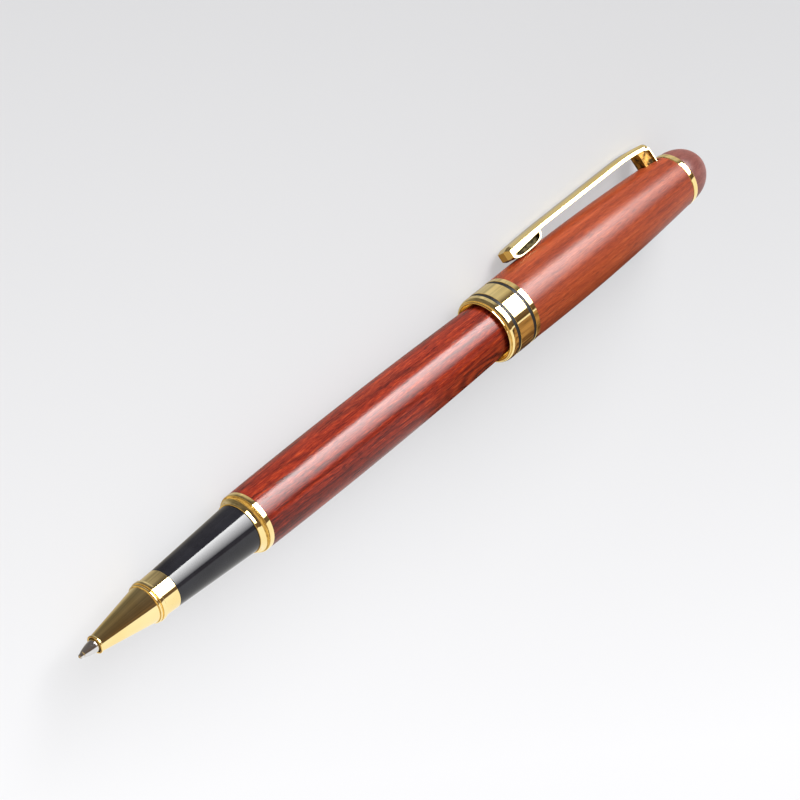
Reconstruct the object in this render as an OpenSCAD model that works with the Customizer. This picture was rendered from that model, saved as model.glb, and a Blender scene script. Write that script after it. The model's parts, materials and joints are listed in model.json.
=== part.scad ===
// Rollerball pen in rosewood and gold plate, lying down with its cap posted on the barrel's rear end.
// The pen's axis runs along X: the writing point is at +X and the cap's dome at -X.
// Stations are distances in millimetres from the writing ball, measured back along the pen.

/* [Writing point] */
// Diameter of the writing ball
ball_d = 0.7; // [0.5:0.1:1.0]
// Length of steel point that shows in front of the nose cone
point_length = 3.8; // [3:0.1:4.5]
// Diameter of the steel point's shank
point_d = 2.5; // [2.3:0.05:2.6]

/* [Nose cone] */
// Length of the cone, from its mouth to the lip
cone_length = 13.2; // [12:0.1:15]
// Outer diameter of the rolled bead at the cone's mouth
mouth_bead_d = 3.6; // [3.4:0.1:4]
// Outer diameter at the cone's wide end
cone_base_d = 7.5; // [7.2:0.1:8]
// Diameter of the round lip behind the cone
lip_d = 8.1; // [7.9:0.1:8.6]
// Width of that lip along the pen
lip_w = 0.9; // [0.6:0.1:1.1]
// Length of the plain sleeve between the lip and the grip
sleeve_length = 3.4; // [3:0.1:5]

/* [Grip section] */
// Length of the black grip
grip_length = 19.3; // [17:0.1:22]
// Grip diameter where it meets the nose cone
grip_front_d = 7.84; // [7.7:0.02:8.2]
// Grip diameter where it meets the collar
grip_rear_d = 9.8; // [9.4:0.1:10.2]
// Length of the gold collar behind the grip
collar_length = 1.6; // [1.4:0.1:2.2]
// Outer diameter of that collar
collar_d = 11.7; // [11.4:0.1:11.9]
// Pitch of the screw thread that holds the grip section in the barrel
thread_pitch = 1; // [0.75:0.25:1.25]
// Number of thread turns in the coupling
thread_turns = 6; // [5:1:7]

/* [Barrel] */
// Length of the wooden barrel, without its trim
barrel_length = 73.3; // [72:0.1:76]
// Width of the gold ring at the barrel's front end
barrel_ring_w = 1.1; // [0.8:0.1:1.4]
// Barrel diameter at its front end
barrel_front_d = 11.84; // [11.6:0.02:12]
// Barrel diameter where the posted cap's mouth stands
barrel_rear_d = 10.94; // [10.8:0.02:11]
// How far the barrel's middle swells beyond a straight taper, on the radius
barrel_swell = 0.37; // [0.1:0.01:0.4]
// Outer diameter of the brass tube glued inside the barrel
tube_d = 9; // [8.8:0.1:9.2]

/* [Refill] */
// Length of the refill, from its ball to its end plug
refill_length = 110; // [109:0.5:111]
// Diameter of the refill's tube
refill_d = 6; // [5.9:0.1:6.1]

/* [Cap] */
// How far the posted cap reaches over the barrel's end, trim included
posted_depth = 11; // [9:0.5:12]
// Width of the gold band at the cap's mouth
band_w = 8.2; // [7.5:0.1:9]
// Outer diameter of that band
band_d = 13.7; // [13.4:0.1:14]
// Inner diameter of the cap's mouth
cap_mouth_d = 12.1; // [12:0.1:12.4]
// Length of the cap's wooden sleeve
cap_wood_length = 48.7; // [46:0.1:50]
// Diameter of that sleeve at the finial end
cap_far_d = 11; // [10.8:0.1:11.2]
// How far its middle swells beyond a straight taper, on the radius
cap_swell = 0.54; // [0.3:0.02:0.6]
// Width of the gold ring under the dome
finial_ring_w = 1.3; // [1:0.1:1.6]
// Height of the wooden dome
dome_height = 7; // [6:0.1:8]

/* [Clip] */
// Length of the clip, from its free end to the back of its root
clip_length = 42.9; // [41:0.1:43.2]
// Width of the clip
clip_w = 3.6; // [3.2:0.1:4]
// Thickness of the clip's bar
clip_t = 1.25; // [1.1:0.05:1.4]
// Distance from the pen's axis to the clip's outer face
clip_reach = 10.2; // [10.1:0.05:10.6]

/* [Hidden] */

// Roundness of turned parts: any value above 12 gives true curves.
$fn = 96;
// Colours
gold = [0.95, 0.83, 0.45];
brass = [0.80, 0.66, 0.35];
steel = [0.78, 0.78, 0.80];
rosewood = [0.62, 0.22, 0.12];
dome_wood = [0.55, 0.32, 0.29];
black_lacquer = [0.08, 0.08, 0.09];
ink_blue = [0.10, 0.10, 0.30];
white_plastic = [0.92, 0.92, 0.90];

// Clearances on the radius: a turning or sliding fit, and plain free space
running_gap = 0.05;
free_gap = 0.15;

// Stations along the pen, from the ball back to the dome
cone_mouth_at = point_length;
lip_at = cone_mouth_at + cone_length;
sleeve_at = lip_at + lip_w;
grip_at = sleeve_at + sleeve_length;
collar_at = grip_at + grip_length;
ring_at = collar_at + collar_length;
barrel_at = ring_at + barrel_ring_w;
barrel_end_at = barrel_at + barrel_length;
trim_length = 2.6;
trim_end_at = barrel_end_at + trim_length;
mouth_at = trim_end_at - posted_depth;
cap_wood_at = mouth_at + band_w;
finial_ring_at = cap_wood_at + cap_wood_length;
dome_at = finial_ring_at + finial_ring_w;
pen_length = dome_at + dome_height;

// Radii used by more than one part
point_r = point_d/2;
refill_r = refill_d/2;
coupling_bore_r = refill_r + 0.1;
coupling_r = 3.45;
thread_r = tube_d/2 - 0.45;
tube_bore_r = thread_r + running_gap;
band_r = band_d/2;
cap_front_r = band_r - 0.03;
liner_r = 5.75;
liner_bore_r = 5.45;
finial_r = cap_far_d/2;

// Inside the cap: where the liner, the inner cap and the clip's anchor stand
liner_at = mouth_at + 2.6;
inner_cap_at = mouth_at + 27;
inner_cap_length = 23;
anchor_at = finial_ring_at - 4.8;
anchor_r = 4.7;
screw_r = 1.25;

// The clip's root: a post with a round foot that sits in the anchor, and a wider sheet behind it
leg_length = 3.5;
leg_w = 2.6;
leg_sheet_t = 0.7;
leg_low = 5;
clip_back_at = finial_ring_at - 0.8;
leg_at = clip_back_at - leg_length;
clip_end_at = clip_back_at - clip_length;
pivot_r = 0.9;
pivot_at = leg_at + leg_length/2;
pivot_height = 3.4;

// Outer radius of the barrel at a station: a straight taper with a swelling middle.
function barrel_r(at) =
    let (u = (at - barrel_at)/(mouth_at - barrel_at))
    barrel_front_d/2*(1 - u) + barrel_rear_d/2*u + 4*barrel_swell*u*(1 - u);

// Outer radius of the cap's wood at a station, shaped the same way.
function cap_r(at) =
    let (u = (at - cap_wood_at)/cap_wood_length)
    cap_front_r*(1 - u) + finial_r*u + 4*cap_swell*u*(1 - u);

// The cap's outline has this many straight steps; the pen lies on its widest point and
// on the clip's lower edge, so the clip points this far below the horizontal.
cap_steps = 12;
widest_r = max([for (i = [0:cap_steps]) cap_r(cap_wood_at + cap_wood_length*i/cap_steps)]);
clip_corner = sqrt(pow(clip_reach, 2) + pow(clip_w/2, 2));
clip_dip = asin(widest_r/clip_corner) - atan2(clip_w/2, clip_reach);
clip_side = clip_reach*cos(clip_dip) + clip_w/2*sin(clip_dip);
axis_y = (clip_side - widest_r)/2;
axis_z = widest_r;
half_length = pen_length/2;

// Points of a quarter of an ellipse, from its widest point to its pole, as [station, radius].
function dome_points(at, height, radius, steps) =
    [for (i = [0:steps]) [at + height*sin(90*i/steps), radius*cos(90*i/steps)]];

// Points of a circular arc in the clip's side view, as [height, station].
function arc_points(height, at, radius, from, to, steps) =
    [for (i = [0:steps])
        let (a = from + (to - from)*i/steps)
        [height + radius*cos(a), at + radius*sin(a)]];

// Puts a shape built around Z, at its stations, onto the pen's axis.
module on_axis() {
    translate([half_length, axis_y, axis_z]) rotate([0, -90, 0]) children();
}

// Turns a closed outline of [station, radius] points about the pen's axis.
module turned(outline) {
    on_axis() rotate_extrude() polygon([for (p = outline) [p[1], p[0]]]);
}

// A plain tube between two stations.
module tube(from, to, outer_r, inner_r) {
    turned([[from, inner_r], [from, outer_r], [to, outer_r], [to, inner_r]]);
}

// The clip's own directions: X is the height above the axis, Y runs across it, Z is the station.
module in_clip() {
    on_axis() rotate([0, 0, 270 - clip_dip]) children();
}

// Extrudes a side view of [height, station] points across the clip's width.
module across_clip(width) {
    in_clip() rotate([90, 0, 0]) linear_extrude(height = width, center = true) children();
}

module ball() {
    color(steel) on_axis() translate([0, 0, ball_d/2]) sphere(d = ball_d);
}

module refill_point() {
    // The rim closes over the ball just past its middle, and the bore behind it leads the ink.
    socket_r = ball_d/2 + 0.02;
    rim_at = 0.24;
    color(steel) difference() {
        turned([
            [rim_at, 0],
            [rim_at, ball_d/2 + 0.04],
            [point_length, point_r],
            [point_length + 7, point_r],
            [point_length + 7, 0]
        ]);
        on_axis() translate([0, 0, ball_d/2]) sphere(r = socket_r);
        on_axis() translate([0, 0, ball_d/2]) cylinder(h = point_length + 8, r = 0.2);
    }
}

module refill_adapter() {
    front_at = point_length + 4.5;
    shoulder_at = lip_at + 0.4;
    color(white_plastic) turned([
        [front_at, point_r],
        [front_at, 1.7],
        [shoulder_at - 2, refill_r - 0.25],
        [shoulder_at, refill_r],
        [shoulder_at + 2, refill_r],
        [shoulder_at + 2, refill_r - 0.4],
        [shoulder_at + 5, refill_r - 0.4],
        [shoulder_at + 5, 1],
        [point_length + 7, 1],
        [point_length + 7, point_r]
    ]);
}

// The refill's tube starts behind the adapter's shoulder and ends at the plug.
tube_front_at = lip_at + 2.4;
plug_at = refill_length - 3;

module refill_tube() {
    color(steel) tube(tube_front_at, plug_at, refill_r, refill_r - 0.4);
}

module refill_end_plug() {
    color(white_plastic) turned([
        [plug_at - 4, 0.6],
        [plug_at - 4, refill_r - 0.4],
        [plug_at, refill_r - 0.4],
        [plug_at, refill_r],
        [refill_length, refill_r],
        [refill_length, 0.6]
    ]);
}

follower_at = plug_at - 24;

module ink_column() {
    color(ink_blue) turned([
        [tube_front_at + 3, 0],
        [tube_front_at + 3, refill_r - 0.4],
        [follower_at, refill_r - 0.4],
        [follower_at, 0]
    ]);
}

module ink_follower() {
    color("khaki") turned([
        [follower_at, 0],
        [follower_at, refill_r - 0.4],
        [follower_at + 4, refill_r - 0.4],
        [follower_at + 4, 0]
    ]);
}

module nose_cone() {
    // A rolled bead at the mouth, and a second bead and a round lip at the cone's wide end.
    bead_r = mouth_bead_d/2;
    bead_w = 0.5;
    base_bead_at = lip_at - 0.7;
    base_bead_w = 0.56;
    mouth_r = point_r + 0.18;
    lip_r = lip_d/2;
    base_r = cone_base_d/2;
    sleeve_front_r = grip_front_d/2 - 0.14;
    color(gold) turned(concat(
        [[cone_mouth_at + 0.12, mouth_r]],
        [for (i = [0:6]) [
            cone_mouth_at + bead_w/2*(1 - cos(30*i)),
            bead_r - 0.16 + 0.16*sin(30*i)
        ]],
        [[base_bead_at, base_r - 0.13]],
        [for (i = [0:8]) [
            base_bead_at + base_bead_w/2*(1 - cos(22.5*i)),
            base_r - 0.05 + 0.23*sin(22.5*i)
        ]],
        [
            [lip_at - 0.05, base_r - 0.02],
            [lip_at - 0.05, lip_r - 0.15],
            [lip_at + 0.06, lip_r - 0.04],
            [lip_at + 0.2, lip_r],
            [lip_at + lip_w - 0.2, lip_r],
            [lip_at + lip_w - 0.06, lip_r - 0.04],
            [lip_at + lip_w, lip_r - 0.15],
            [lip_at + lip_w, sleeve_front_r],
            [grip_at, grip_front_d/2],
            [grip_at, coupling_r],
            [grip_at - 3, coupling_r],
            [grip_at - 3, coupling_bore_r],
            [lip_at + 0.2, coupling_bore_r],
            [lip_at - 1.8, refill_r - 0.1],
            [point_length + 4.2, mouth_r + 0.45],
            [point_length + 3.6, mouth_r]
        ]
    ));
}

module grip_section() {
    color(black_lacquer) turned([
        [grip_at, coupling_r],
        [grip_at, grip_front_d/2 - 0.04],
        [collar_at, grip_rear_d/2],
        [collar_at, coupling_r]
    ]);
}

module section_collar() {
    // A narrow front ring, then a hollow flare up to full width.
    collar_r = collar_d/2;
    edge = 0.07;
    front_r = grip_rear_d/2 + 0.22;
    front_w = 0.42;
    flare_w = collar_length - front_w - 2*edge;
    color(gold) turned(concat(
        [
            [collar_at, coupling_r],
            [collar_at, front_r - edge],
            [collar_at + edge, front_r]
        ],
        [for (i = [0:9]) [
            collar_at + front_w + flare_w*sin(10*i),
            front_r + (collar_r - edge - front_r)*(1 - cos(10*i))
        ]],
        [
            [ring_at - 0.05 - edge/2, collar_r],
            [ring_at - 0.05, collar_r - edge],
            [ring_at - 0.05, coupling_r]
        ]
    ));
}

module threaded_coupling() {
    // The thread is drawn as rings, one to each turn.
    root_r = thread_r - 0.45;
    thread_at = ring_at + 0.8;
    color(brass) turned(concat(
        [
            [grip_at - 3, coupling_bore_r],
            [grip_at - 3, coupling_r],
            [ring_at - 0.05, coupling_r],
            [ring_at - 0.05, root_r]
        ],
        [for (i = [0:thread_turns - 1], p = [[0, root_r], [0.4, thread_r], [0.6, thread_r]])
            [thread_at + (i + p[0])*thread_pitch, p[1]]
        ],
        [
            [thread_at + thread_turns*thread_pitch, root_r],
            [thread_at + thread_turns*thread_pitch, coupling_bore_r]
        ]
    ));
}

module barrel_sleeve() {
    steps = 14;
    color(rosewood) turned(concat(
        [for (i = [0:steps])
            let (at = barrel_at + barrel_length*i/steps)
            [at, barrel_r(at)]
        ],
        [[barrel_end_at, tube_d/2], [barrel_at, tube_d/2]]
    ));
}

module barrel_tube() {
    color(brass) tube(ring_at + 0.4, barrel_end_at, tube_d/2, tube_bore_r);
}

module barrel_ring() {
    ring_r = barrel_front_d/2;
    color(gold) turned([
        [ring_at, tube_bore_r],
        [ring_at, ring_r - 0.16],
        [ring_at + 0.14, ring_r],
        [barrel_at, ring_r],
        [barrel_at, tube_d/2],
        [ring_at + 0.4, tube_d/2],
        [ring_at + 0.4, tube_bore_r]
    ]);
}

module barrel_end_cap() {
    trim_r = barrel_r(barrel_end_at);
    color(gold) turned(concat(
        [
            [barrel_end_at - 2, 0],
            [barrel_end_at - 2, tube_bore_r],
            [barrel_end_at, tube_bore_r],
            [barrel_end_at, trim_r]
        ],
        dome_points(barrel_end_at + 1.2, trim_length - 1.2, trim_r, 10)
    ));
}

// Centre line of the spring that pushes the refill forward.
spring_turns = 4;
spring_sides = 8;
spring_wire_r = 0.25;
spring_r = 2.3;
spring_from = refill_length + spring_wire_r + 0.02;
spring_to = barrel_end_at - 2 - spring_wire_r - 0.02;
spring_rings = spring_turns*20;

function spring_point(i, side) =
    let (
        turn = 360*spring_turns*i/spring_rings,
        around = 360*side/spring_sides,
        r = spring_r + spring_wire_r*cos(around)
    )
    [
        r*cos(turn),
        r*sin(turn),
        spring_from + (spring_to - spring_from)*i/spring_rings + spring_wire_r*sin(around)
    ];

module refill_spring() {
    n = spring_sides;
    color(steel) on_axis() polyhedron(
        points = [for (i = [0:spring_rings], s = [0:n - 1]) spring_point(i, s)],
        faces = concat(
            [[for (s = [0:n - 1]) s]],
            [for (i = [0:spring_rings - 1], s = [0:n - 1])
                [i*n + s, (i + 1)*n + s, (i + 1)*n + (s + 1)%n, i*n + (s + 1)%n]
            ],
            [[for (s = [n - 1:-1:0]) spring_rings*n + s]]
        )
    );
}

module cap_sleeve() {
    slot_gap = 0.25;
    color(rosewood) difference() {
        turned(concat(
            [for (i = [0:cap_steps])
                let (at = cap_wood_at + cap_wood_length*i/cap_steps)
                [at, cap_r(at)]
            ],
            [
                [finial_ring_at, anchor_r],
                [anchor_at, anchor_r],
                [anchor_at, liner_bore_r],
                [anchor_at - 2, liner_r],
                [cap_wood_at, liner_r]
            ]
        ));
        // Slots for the clip's post and for the sheet behind it
        across_clip(leg_w + 2*slot_gap)
            translate([anchor_r - 1, leg_at - slot_gap])
            square([3, leg_length + 2*slot_gap]);
        across_clip(clip_w + 2*slot_gap)
            translate([anchor_r - 1, clip_back_at - leg_sheet_t - slot_gap])
            square([3, leg_sheet_t + 2*slot_gap]);
    }
}

module cap_liner_tube() {
    color(brass) tube(liner_at, anchor_at - 2, liner_r, liner_bore_r);
}

module inner_cap() {
    end_at = inner_cap_at + inner_cap_length;
    color(white_plastic) turned([
        [inner_cap_at, 4.3],
        [inner_cap_at, liner_bore_r],
        [end_at, liner_bore_r],
        [end_at, screw_r],
        [end_at - 2, screw_r],
        [end_at - 2, 4.3]
    ]);
}

// The two black lines round the band, as stations of their front edges.
line_w = 0.75;
line_depth = 0.3;
line_front_at = mouth_at + 1.9;
line_rear_at = mouth_at + 6.4;

module centre_band() {
    // A thin round bead at the mouth, then a convex bevel up to full width.
    mouth_r = cap_mouth_d/2;
    bead_r = 0.15;
    bevel_at = mouth_at + 2*bead_r;
    bevel_w = 1.05;
    bevel_r = mouth_r + 2*bead_r + 0.05;
    groove_r = band_r - line_depth;
    color(gold) turned(concat(
        [for (i = [0:6]) [
            mouth_at + bead_r*(1 - sin(30*i)),
            mouth_r + bead_r*(1 - cos(30*i))
        ]],
        [for (i = [0:6]) [
            bevel_at + bevel_w*(1 - cos(15*i)),
            bevel_r + (band_r - bevel_r)*sin(15*i)
        ]],
        [
            [line_front_at, band_r],
            [line_front_at, groove_r],
            [line_front_at + line_w, groove_r],
            [line_front_at + line_w, band_r],
            [line_rear_at, band_r],
            [line_rear_at, groove_r],
            [line_rear_at + line_w, groove_r],
            [line_rear_at + line_w, band_r],
            [cap_wood_at, band_r],
            [cap_wood_at, liner_r],
            [liner_at, liner_r],
            [liner_at, mouth_r]
        ]
    ));
}

module band_line(at) {
    color(black_lacquer) tube(at, at + line_w, band_r - 0.08, band_r - line_depth);
}

module band_line_front() {
    band_line(line_front_at);
}

module band_line_rear() {
    band_line(line_rear_at);
}

module clip_anchor() {
    // A disc with a round-bottomed channel that holds the clip's foot and lets it rock.
    channel_r = pivot_r + running_gap;
    neck = 1.5;
    color(brass) difference() {
        tube(anchor_at, finial_ring_at, anchor_r, screw_r);
        across_clip(leg_w + 2*free_gap) {
            translate([pivot_height, pivot_at]) circle(r = channel_r);
            translate([pivot_height, pivot_at - neck/2]) square([3, neck]);
        }
    }
}

module finial_screw() {
    head_at = inner_cap_at + inner_cap_length;
    slot_w = 0.6;
    color(brass) difference() {
        turned([
            [head_at - 4, 0],
            [head_at - 4, 2.4],
            [head_at - 2, 2.4],
            [head_at - 2, screw_r],
            [dome_at + 4, screw_r],
            [dome_at + 4, 0]
        ]);
        on_axis() translate([-3, -slot_w/2, head_at - 5]) cube([6, slot_w, 1.6]);
    }
}

module finial_ring() {
    edge = 0.15;
    color(gold) turned([
        [finial_ring_at, screw_r],
        [finial_ring_at, finial_r - edge],
        [finial_ring_at + edge, finial_r + 0.05],
        [dome_at - edge, finial_r + 0.05],
        [dome_at, finial_r - edge],
        [dome_at, screw_r]
    ]);
}

module finial_dome() {
    dome_r = finial_r - 0.08;
    color(dome_wood) difference() {
        turned(concat([[dome_at, 0]], dome_points(dome_at, dome_height, dome_r, 24)));
        on_axis() translate([0, 0, dome_at - 1]) cylinder(h = 5, r = screw_r);
    }
}

// Side view of the clip, as [height, station]. The bar is nearly straight, and dips a little
// towards its free end and more towards its root. Its hollow foot hangs under the free end.
clip_foot_low = widest_r + 0.12;
clip_foot_length = 9.5;
clip_foot_front = 4.4;
clip_foot_mid_at = clip_end_at + 5.1;
clip_foot_back_at = clip_end_at + clip_foot_length;
clip_tip_facet = 1.1;

function clip_outer(at) =
    let (
        from_end = max(0, 13 - (at - clip_end_at)),
        to_root = max(0, at - (leg_at - 5.8))
    )
    clip_reach - 0.0022*pow(from_end, 2) - 0.0105*pow(to_root, 2);

function clip_under(at) = clip_outer(at) - clip_t;

// Lower edge of the foot, from its back end round towards its front: a square-shouldered half oval.
// It hangs "drop" below the bar at its middle, and reaches "back" and "front" from there.
function foot_edge(drop, back, front, to_angle, steps) =
    [for (i = [0:steps])
        let (
            a = to_angle*i/steps,
            reach = pow(abs(cos(a)), 2/3),
            at = clip_foot_mid_at + (a < 90 ? back*reach : -front*reach)
        )
        [clip_under(at) - drop*pow(sin(a), 2/3), at]];

module clip_outline() {
    bend_r = 1.7;
    steps = 16;
    bend_at = clip_back_at - bend_r;
    top_at = clip_end_at + clip_tip_facet;
    under_at = bend_at - 0.3;
    drop = clip_under(clip_foot_mid_at) - clip_foot_low;
    polygon(concat(
        [[clip_outer(clip_end_at) - 0.3, clip_end_at]],
        [for (i = [0:steps])
            let (at = top_at + (bend_at - top_at)*i/steps)
            [clip_outer(at), at]
        ],
        arc_points(clip_outer(bend_at) - bend_r, bend_at, bend_r, 18, 90, 6),
        [
            [leg_low, clip_back_at],
            [leg_low, clip_back_at - leg_sheet_t],
            [clip_under(bend_at) - 0.5, clip_back_at - leg_sheet_t]
        ],
        [for (i = [0:steps - 1])
            let (at = under_at + (clip_foot_back_at - under_at)*i/steps)
            [clip_under(at), at]
        ],
        foot_edge(drop, clip_foot_back_at - clip_foot_mid_at, clip_foot_front, 150, 15),
        [[clip_foot_low + 0.85, clip_end_at]]
    ));
}

module clip_leg() {
    // The post under the bar, and the neck down to the round foot in the anchor.
    neck = 0.55;
    top = clip_under(leg_at) + 0.3;
    polygon([
        [pivot_height, pivot_at - neck],
        [leg_low, pivot_at - neck],
        [leg_low, leg_at],
        [top, leg_at],
        [clip_under(clip_back_at - leg_sheet_t) + 0.1, clip_back_at - leg_sheet_t],
        [leg_low, clip_back_at - leg_sheet_t],
        [leg_low, pivot_at + neck],
        [pivot_height, pivot_at + neck]
    ]);
}

module clip_hollows() {
    // The foot is a folded tongue: a half-moon hollow opens on each side, deepest under the bar.
    rim = 0.23;
    web_top = 0.5;
    web_low = 1.4;
    outside = clip_w/2 + 0.5;
    top = clip_under(clip_foot_back_at) - 0.27;
    drop = clip_under(clip_foot_mid_at) - clip_foot_low - rim;
    intersection() {
        across_clip(clip_w + 1) polygon(foot_edge(drop, 3.85, 3.48, 180, 18));
        across_clip(clip_w + 1) polygon([
            [clip_foot_low, clip_end_at],
            [top - 0.74, clip_end_at],
            [top, clip_foot_back_at],
            [clip_foot_low, clip_foot_back_at]
        ]);
        in_clip() translate([0, 0, clip_end_at]) linear_extrude(height = clip_foot_length)
            for (side = [-1, 1])
                polygon([
                    [top, side*web_top],
                    [top, side*outside],
                    [clip_foot_low, side*outside],
                    [clip_foot_low, side*web_low]
                ]);
    }
}

module clip_corners() {
    // Cuts the free end's two corners, seen from above.
    cut = 0.9;
    past = 0.1;
    for (side = [-1, 1])
        in_clip() rotate([90, 0, 90]) linear_extrude(height = clip_reach + 1)
            polygon([
                [side*(clip_w/2 + past), clip_end_at + cut + past],
                [side*(clip_w/2 + past), clip_end_at - past],
                [side*(clip_w/2 - cut - past), clip_end_at - past]
            ]);
}

module clip() {
    color(gold) difference() {
        union() {
            across_clip(clip_w) clip_outline();
            across_clip(leg_w) clip_leg();
            across_clip(leg_w) translate([pivot_height, pivot_at]) circle(r = pivot_r);
        }
        clip_hollows();
        clip_corners();
    }
}

ball();
refill_point();
refill_adapter();
refill_tube();
refill_end_plug();
ink_column();
ink_follower();
nose_cone();
grip_section();
section_collar();
threaded_coupling();
barrel_sleeve();
barrel_tube();
barrel_ring();
barrel_end_cap();
refill_spring();
cap_sleeve();
cap_liner_tube();
inner_cap();
centre_band();
band_line_front();
band_line_rear();
clip_anchor();
finial_screw();
finial_ring();
finial_dome();
clip();
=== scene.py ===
import json
import math

import bmesh
import bpy
from mathutils import Matrix, Quaternion, Vector


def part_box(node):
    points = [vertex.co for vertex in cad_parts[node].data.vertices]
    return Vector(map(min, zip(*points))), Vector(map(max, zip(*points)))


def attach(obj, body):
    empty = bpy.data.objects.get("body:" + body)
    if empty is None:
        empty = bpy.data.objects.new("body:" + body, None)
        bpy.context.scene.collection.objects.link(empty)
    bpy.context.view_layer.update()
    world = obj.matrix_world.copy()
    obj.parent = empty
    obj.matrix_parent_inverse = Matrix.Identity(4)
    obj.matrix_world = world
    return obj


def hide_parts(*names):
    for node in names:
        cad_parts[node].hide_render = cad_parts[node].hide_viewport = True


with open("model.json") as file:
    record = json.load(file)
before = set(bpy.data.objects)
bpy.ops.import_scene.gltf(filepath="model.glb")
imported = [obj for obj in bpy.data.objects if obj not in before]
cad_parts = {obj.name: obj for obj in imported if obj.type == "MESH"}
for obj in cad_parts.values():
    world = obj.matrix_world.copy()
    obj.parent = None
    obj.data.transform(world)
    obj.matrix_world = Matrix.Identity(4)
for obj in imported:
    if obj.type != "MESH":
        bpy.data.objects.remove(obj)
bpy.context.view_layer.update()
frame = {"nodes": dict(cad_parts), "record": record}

MM = 0.001
PER_METRE = 1000

# ---------------------------------------------------------------- places taken from the CAD
BOX = {name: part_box(name) for name in frame["nodes"]}
AXIS_Y = (BOX["barrel_sleeve"][0].y + BOX["barrel_sleeve"][1].y) / 2
AXIS_Z = (BOX["barrel_sleeve"][0].z + BOX["barrel_sleeve"][1].z) / 2
TIP_X = BOX["ball"][1].x

# The clip's hinge gives its directions: outwards from the pen's axis, and across the clip towards
# its upper side
HINGE = next(
    j for j in frame["record"]["behaviour"]["joints"] if j["name"] == "clip_flex"
)["axis"]
CLIP_OUT = Vector((0, HINGE[2], -HINGE[1]))
CLIP_SIDE = Vector((0, -HINGE[1], -HINGE[2]))


def front(node):
    """X of a node's end nearer the writing ball."""
    return BOX[node][1].x


def back(node):
    """X of a node's end nearer the finial."""
    return BOX[node][0].x


def show(name, mesh):
    """A new object in the scene."""
    obj = bpy.data.objects.new(name, mesh)
    bpy.context.scene.collection.objects.link(obj)
    return obj


# ---------------------------------------------------------------- camera
CAMERA_TARGET = Vector((TIP_X - 84.25 * MM, AXIS_Y, AXIS_Z))
CAMERA_DISTANCE = 0.7237
CAMERA_AZIMUTH = math.radians(46.42)
CAMERA_ELEVATION = math.radians(38.95)
CAMERA_ROLL = math.radians(107.8)
SENSOR_WIDTH = 36
LENS = 180
NEAREST, FARTHEST = 0.01, 20


def make_camera():
    data = bpy.data.cameras.new("camera")
    data.sensor_width = SENSOR_WIDTH
    data.lens = LENS
    data.clip_start, data.clip_end = NEAREST, FARTHEST
    cam = show("camera", data)
    level = math.cos(CAMERA_ELEVATION)
    towards = Vector((
        math.sin(CAMERA_AZIMUTH) * level,
        -math.cos(CAMERA_AZIMUTH) * level,
        math.sin(CAMERA_ELEVATION),
    ))
    cam.location = CAMERA_TARGET + towards * CAMERA_DISTANCE
    cam.rotation_mode = "QUATERNION"
    cam.rotation_quaternion = (
        (-towards).to_track_quat("-Z", "Y") @ Quaternion((0, 0, 1), CAMERA_ROLL)
    )
    bpy.context.scene.camera = cam


make_camera()

# ---------------------------------------------------------------- material helpers


def rgba(colour):
    """A plain colour with its alpha; a linked colour stays as it is."""
    return (*colour, 1) if isinstance(colour, tuple) else colour


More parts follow.
